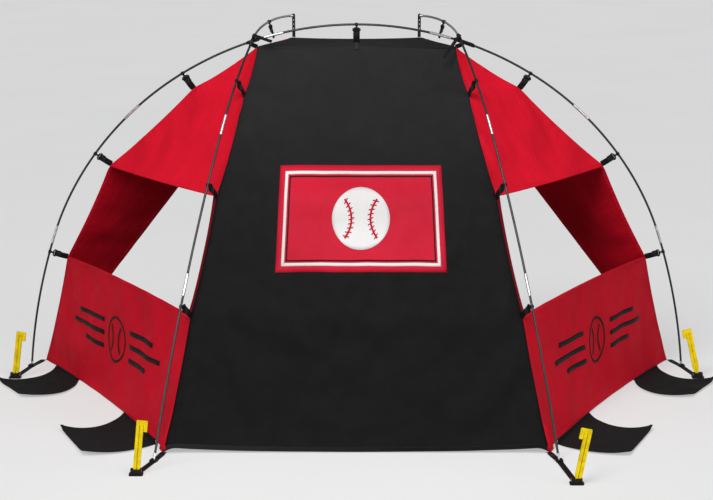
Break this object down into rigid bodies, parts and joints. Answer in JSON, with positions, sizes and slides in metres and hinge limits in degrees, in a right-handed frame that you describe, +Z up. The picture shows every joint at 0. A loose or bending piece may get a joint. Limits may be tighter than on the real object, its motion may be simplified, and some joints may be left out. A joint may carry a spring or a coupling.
{
  "type": "lawn game backstop shelter",
  "caption": "Fabric backstop shelter hung inside sprung tent poles, with open side windows, ground flaps and hooked pegs in moulded sockets.",
  "frame": {"origin": "on the ground under the middle of the whole outline", "axes": "+X across the shelter to the right as seen from behind, +Y to the open front, +Z up"},
  "size_m": [3.2002, 1.9548, 1.6475],
  "materials": {
    "pole": "dark fibreglass tube",
    "steel": "bright drawn steel",
    "elastic_cord": "braided cover",
    "black_plastic": "moulded, satin",
    "rubber_strap": "moulded, dull",
    "webbing": "woven webbing",
    "black_cloth": "coated plain weave",
    "flap_cloth": "coated plain weave",
    "red_cloth": "coated plain weave",
    "peg_plastic": "moulded, bright"
  },
  "bodies": {
    "shelter": {"arch_section_1": "pole", "arch_section_2": "pole", "arch_section_3": "pole", "arch_section_4": "pole", "arch_section_5": "pole", "arch_section_6": "pole", "arch_section_7": "pole", "left_leg_section_1": "pole", "left_leg_section_2": "pole", "left_leg_section_3": "pole", "right_leg_section_1": "pole", "right_leg_section_2": "pole", "right_leg_section_3": "pole", "visor_poles": "pole", "arch_ferrules": "steel", "leg_ferrules": "steel", "arch_shock_cord": "elastic_cord", "left_shock_cord": "elastic_cord", "right_shock_cord": "elastic_cord", "pole_end_pins": "steel", "visor_end_pins": "steel", "left_hub": "black_plastic", "right_hub": "black_plastic", "left_tie": "webbing", "right_tie": "webbing", "arch_hooks": "black_plastic", "leg_hooks": "black_plastic", "visor_hooks": "black_plastic", "arch_straps": "webbing", "leg_straps": "webbing", "visor_straps": "webbing", "visor_ladders": "rubber_strap", "back_panel": "black_cloth", "roof_panel": "black_cloth", "left_window_jamb": "red_cloth", "right_window_jamb": "red_cloth", "left_upper_panel": "red_cloth", "right_upper_panel": "red_cloth", "left_lower_panel": "red_cloth", "right_lower_panel": "red_cloth", "left_front_strip": "red_cloth", "right_front_strip": "red_cloth", "corner_tabs": "webbing", "far_left_foot_strap": "rubber_strap", "far_right_foot_strap": "rubber_strap", "near_left_foot_strap": "rubber_strap", "near_right_foot_strap": "rubber_strap", "far_left_socket": "black_plastic", "far_right_socket": "black_plastic", "near_left_socket": "black_plastic", "near_right_socket": "black_plastic"},
    "tie_tail_body": {"tie_tail": "webbing"},
    "far_left_peg_body": {"far_left_peg": "peg_plastic"},
    "far_left_flap_body": {"far_left_flap": "flap_cloth"},
    "far_right_peg_body": {"far_right_peg": "peg_plastic"},
    "far_right_flap_body": {"far_right_flap": "flap_cloth"},
    "near_left_peg_body": {"near_left_peg": "peg_plastic"},
    "near_left_flap_body": {"near_left_flap": "flap_cloth"},
    "near_right_peg_body": {"near_right_peg": "peg_plastic"},
    "near_right_flap_body": {"near_right_flap": "flap_cloth"}
  },
  "joints": [
    {"name": "far_left_peg_pull", "type": "slide", "parent": "shelter", "child": "far_left_peg_body", "axis": [0.1219, 0, 0.9925], "range_m": [0, 0.24]},
    {"name": "far_right_peg_pull", "type": "slide", "parent": "shelter", "child": "far_right_peg_body", "axis": [-0.2164, 0, 0.9763], "range_m": [0, 0.24]},
    {"name": "near_left_peg_pull", "type": "slide", "parent": "shelter", "child": "near_left_peg_body", "axis": [0.0958, 0, 0.9954], "range_m": [0, 0.24]},
    {"name": "near_right_peg_pull", "type": "slide", "parent": "shelter", "child": "near_right_peg_body", "axis": [0.1908, 0, 0.9816], "range_m": [0, 0.24]},
    {"name": "far_left_flap_hinge", "type": "hinge", "parent": "shelter", "child": "far_left_flap_body", "pos_m": [-1.38538, 0.85264, 0.001], "axis": [-0.475, 0.88, 0], "range_deg": [0, 75]},
    {"name": "far_right_flap_hinge", "type": "hinge", "parent": "shelter", "child": "far_right_flap_body", "pos_m": [1.38538, 0.85264, 0.001], "axis": [-0.475, -0.88, 0], "range_deg": [0, 75]},
    {"name": "near_left_flap_hinge", "type": "hinge", "parent": "shelter", "child": "near_left_flap_body", "pos_m": [-0.98593, 0.03655, 0.001], "axis": [-0.356, 0.9345, 0], "range_deg": [0, 75]},
    {"name": "near_right_flap_hinge", "type": "hinge", "parent": "shelter", "child": "near_right_flap_body", "pos_m": [0.98593, 0.03655, 0.001], "axis": [-0.356, -0.9345, 0], "range_deg": [0, 75]},
    {"name": "tie_tail_swing", "type": "hinge", "parent": "shelter", "child": "tie_tail_body", "pos_m": [0.43343, 0.33756, 1.55849], "axis": [0, -0.783, 0.6221], "range_deg": [-30, 32]}
  ]
}
